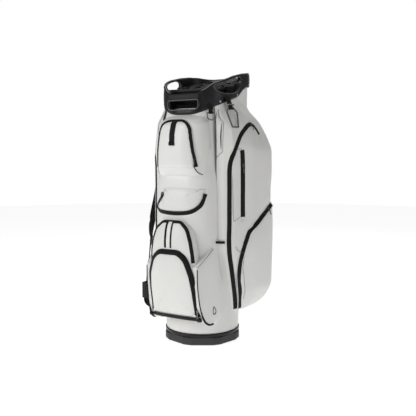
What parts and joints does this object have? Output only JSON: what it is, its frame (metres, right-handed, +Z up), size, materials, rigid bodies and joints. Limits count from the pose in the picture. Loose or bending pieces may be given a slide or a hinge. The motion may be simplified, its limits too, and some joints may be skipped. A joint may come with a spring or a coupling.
{
  "type": "golf cart bag",
  "caption": "Tall white club bag with a slanted black moulded collar with handles, full-length dividers, stacked zip pockets and a turning base.",
  "frame": {"origin": "centre of the base's underside, on the axis that the foot turns on", "axes": "+Z up, -Y towards the stacked front pockets, +X towards the bag's right side with the towel ring"},
  "size_m": [0.4398, 0.415, 0.921],
  "materials": {
    "leather_white": "soft grained synthetic leather, satin",
    "collar_black": "satin moulded plastic",
    "grip_black": "textured soft grip",
    "foot_plastic": "matte moulded plastic",
    "base_black": "satin moulded plastic",
    "rubber_pad": "matte rubber",
    "nylon": "satin nylon",
    "steel": "zinc plated",
    "bright_steel": "polished",
    "gunmetal": "dark polished metal",
    "zip_tape": "woven tape with coated coil",
    "webbing": "woven webbing",
    "stripe_strap": "white strap with black edges",
    "divider_fabric": "matte woven lining",
    "divider_cap": "padded moulded edge",
    "felt": "felt",
    "stay_rod": "glass fibre rod",
    "lining": "woven lining",
    "pad_black": "padded mesh",
    "buckle_plastic": "satin acetal"
  },
  "bodies": {
    "bag": {"thrust_washer": "nylon", "pivot_bolt": "steel", "pivot_nut": "steel", "base_cup": "base_black", "floor_pad": "felt", "tube_shell": "leather_white", "stays": "stay_rod", "strap_channel_liner": "lining", "spine_panel": "leather_white", "rear_handle": "webbing", "collar": "collar_black", "front_grip": "grip_black", "collar_screws": "steel", "divider_panels": "divider_fabric", "divider_caps": "divider_cap", "front_gusset": "leather_white", "valuables_pocket": "leather_white", "mid_pocket": "leather_white", "ball_pocket": "leather_white", "cooler_pocket": "leather_white", "cooler_binding": "webbing", "valuables_zip": "zip_tape", "mid_zip": "zip_tape", "ball_zip": "zip_tape", "cooler_zip": "zip_tape", "pull_strap": "webbing", "ball_strap": "stripe_strap", "keeper_tabs": "webbing", "side_badges": "gunmetal", "d_ring_tab": "webbing", "towel_strap": "webbing", "towel_slide": "bright_steel", "shoulder_pad": "pad_black", "strap_upper": "webbing", "strap_lower": "webbing", "strap_buckle": "buckle_plastic", "strap_tail": "webbing", "strap_anchor": "gunmetal", "rear_pockets": "leather_white", "apparel_zips": "zip_tape", "vest_zips": "zip_tape", "rear_zips": "zip_tape", "side_pocket_right": "leather_white", "side_pocket_left": "leather_white", "quick_pocket_right": "leather_white", "quick_pocket_left": "leather_white"},
    "foot": {"rotating_foot": "foot_plastic", "foot_pads": "rubber_pad"},
    "d_ring": {"d_ring": "gunmetal"},
    "towel_ring": {"towel_ring": "gunmetal"},
    "valuables_slider": {"valuables_slider": "gunmetal"},
    "mid_slider": {"mid_slider": "gunmetal"},
    "ball_slider": {"ball_slider": "gunmetal"},
    "cooler_slider": {"cooler_slider": "gunmetal"},
    "apparel_slider_right": {"apparel_slider_right": "gunmetal"},
    "apparel_slider_left": {"apparel_slider_left": "gunmetal"},
    "vest_slider_right": {"vest_slider_right": "gunmetal"},
    "vest_slider_left": {"vest_slider_left": "gunmetal"},
    "rear_slider_right": {"rear_slider_right": "gunmetal"},
    "rear_slider_left": {"rear_slider_left": "gunmetal"}
  },
  "joints": [
    {"name": "foot_turn", "type": "hinge", "parent": "bag", "child": "foot", "pos_m": [0, 0, 0], "axis": [0, 0, 1], "continuous": true},
    {"name": "d_ring_swing", "type": "hinge", "parent": "bag", "child": "d_ring", "pos_m": [0.0955, -0.1085, 0.774], "axis": [-0.7071, -0.7071, 0], "range_deg": [0, 110]},
    {"name": "towel_ring_swing", "type": "hinge", "parent": "bag", "child": "towel_ring", "pos_m": [0.1385, -0.05, 0.79], "axis": [-0.22, -0.9755, 0], "range_deg": [0, 110]},
    {"name": "valuables_zip_run", "type": "slide", "parent": "bag", "child": "valuables_slider", "axis": [-0.0511, 0.0664, 0.9965], "range_m": [0, 0.0783]},
    {"name": "mid_zip_run", "type": "slide", "parent": "bag", "child": "mid_slider", "axis": [-0.4903, 0, -0.8716], "range_m": [0, 0.0367]},
    {"name": "ball_zip_run", "type": "slide", "parent": "bag", "child": "ball_slider", "axis": [0.1961, 0, 0.9806], "range_m": [0, 0.0306]},
    {"name": "cooler_zip_run", "type": "slide", "parent": "bag", "child": "cooler_slider", "axis": [-0.1316, -0.1164, 0.9844], "range_m": [0, 0.1056]},
    {"name": "apparel_zip_run_right", "type": "slide", "parent": "bag", "child": "apparel_slider_right", "axis": [0.0195, -0.9288, -0.37], "range_m": [0, 0.0514]},
    {"name": "apparel_zip_run_left", "type": "slide", "parent": "bag", "child": "apparel_slider_left", "axis": [-0.0195, -0.9288, -0.37], "range_m": [0, 0.0514]},
    {"name": "vest_zip_run_right", "type": "slide", "parent": "bag", "child": "vest_slider_right", "axis": [0, 0, -1], "range_m": [-0.025, 0.155]},
    {"name": "vest_zip_run_left", "type": "slide", "parent": "bag", "child": "vest_slider_left", "axis": [0, 0, -1], "range_m": [-0.025, 0.155]},
    {"name": "rear_zip_run_right", "type": "slide", "parent": "bag", "child": "rear_slider_right", "axis": [-0.0891, -0.8433, -0.5301], "range_m": [0, 0.0415]},
    {"name": "rear_zip_run_left", "type": "slide", "parent": "bag", "child": "rear_slider_left", "axis": [0.0891, -0.8433, -0.5301], "range_m": [0, 0.0415]}
  ]
}
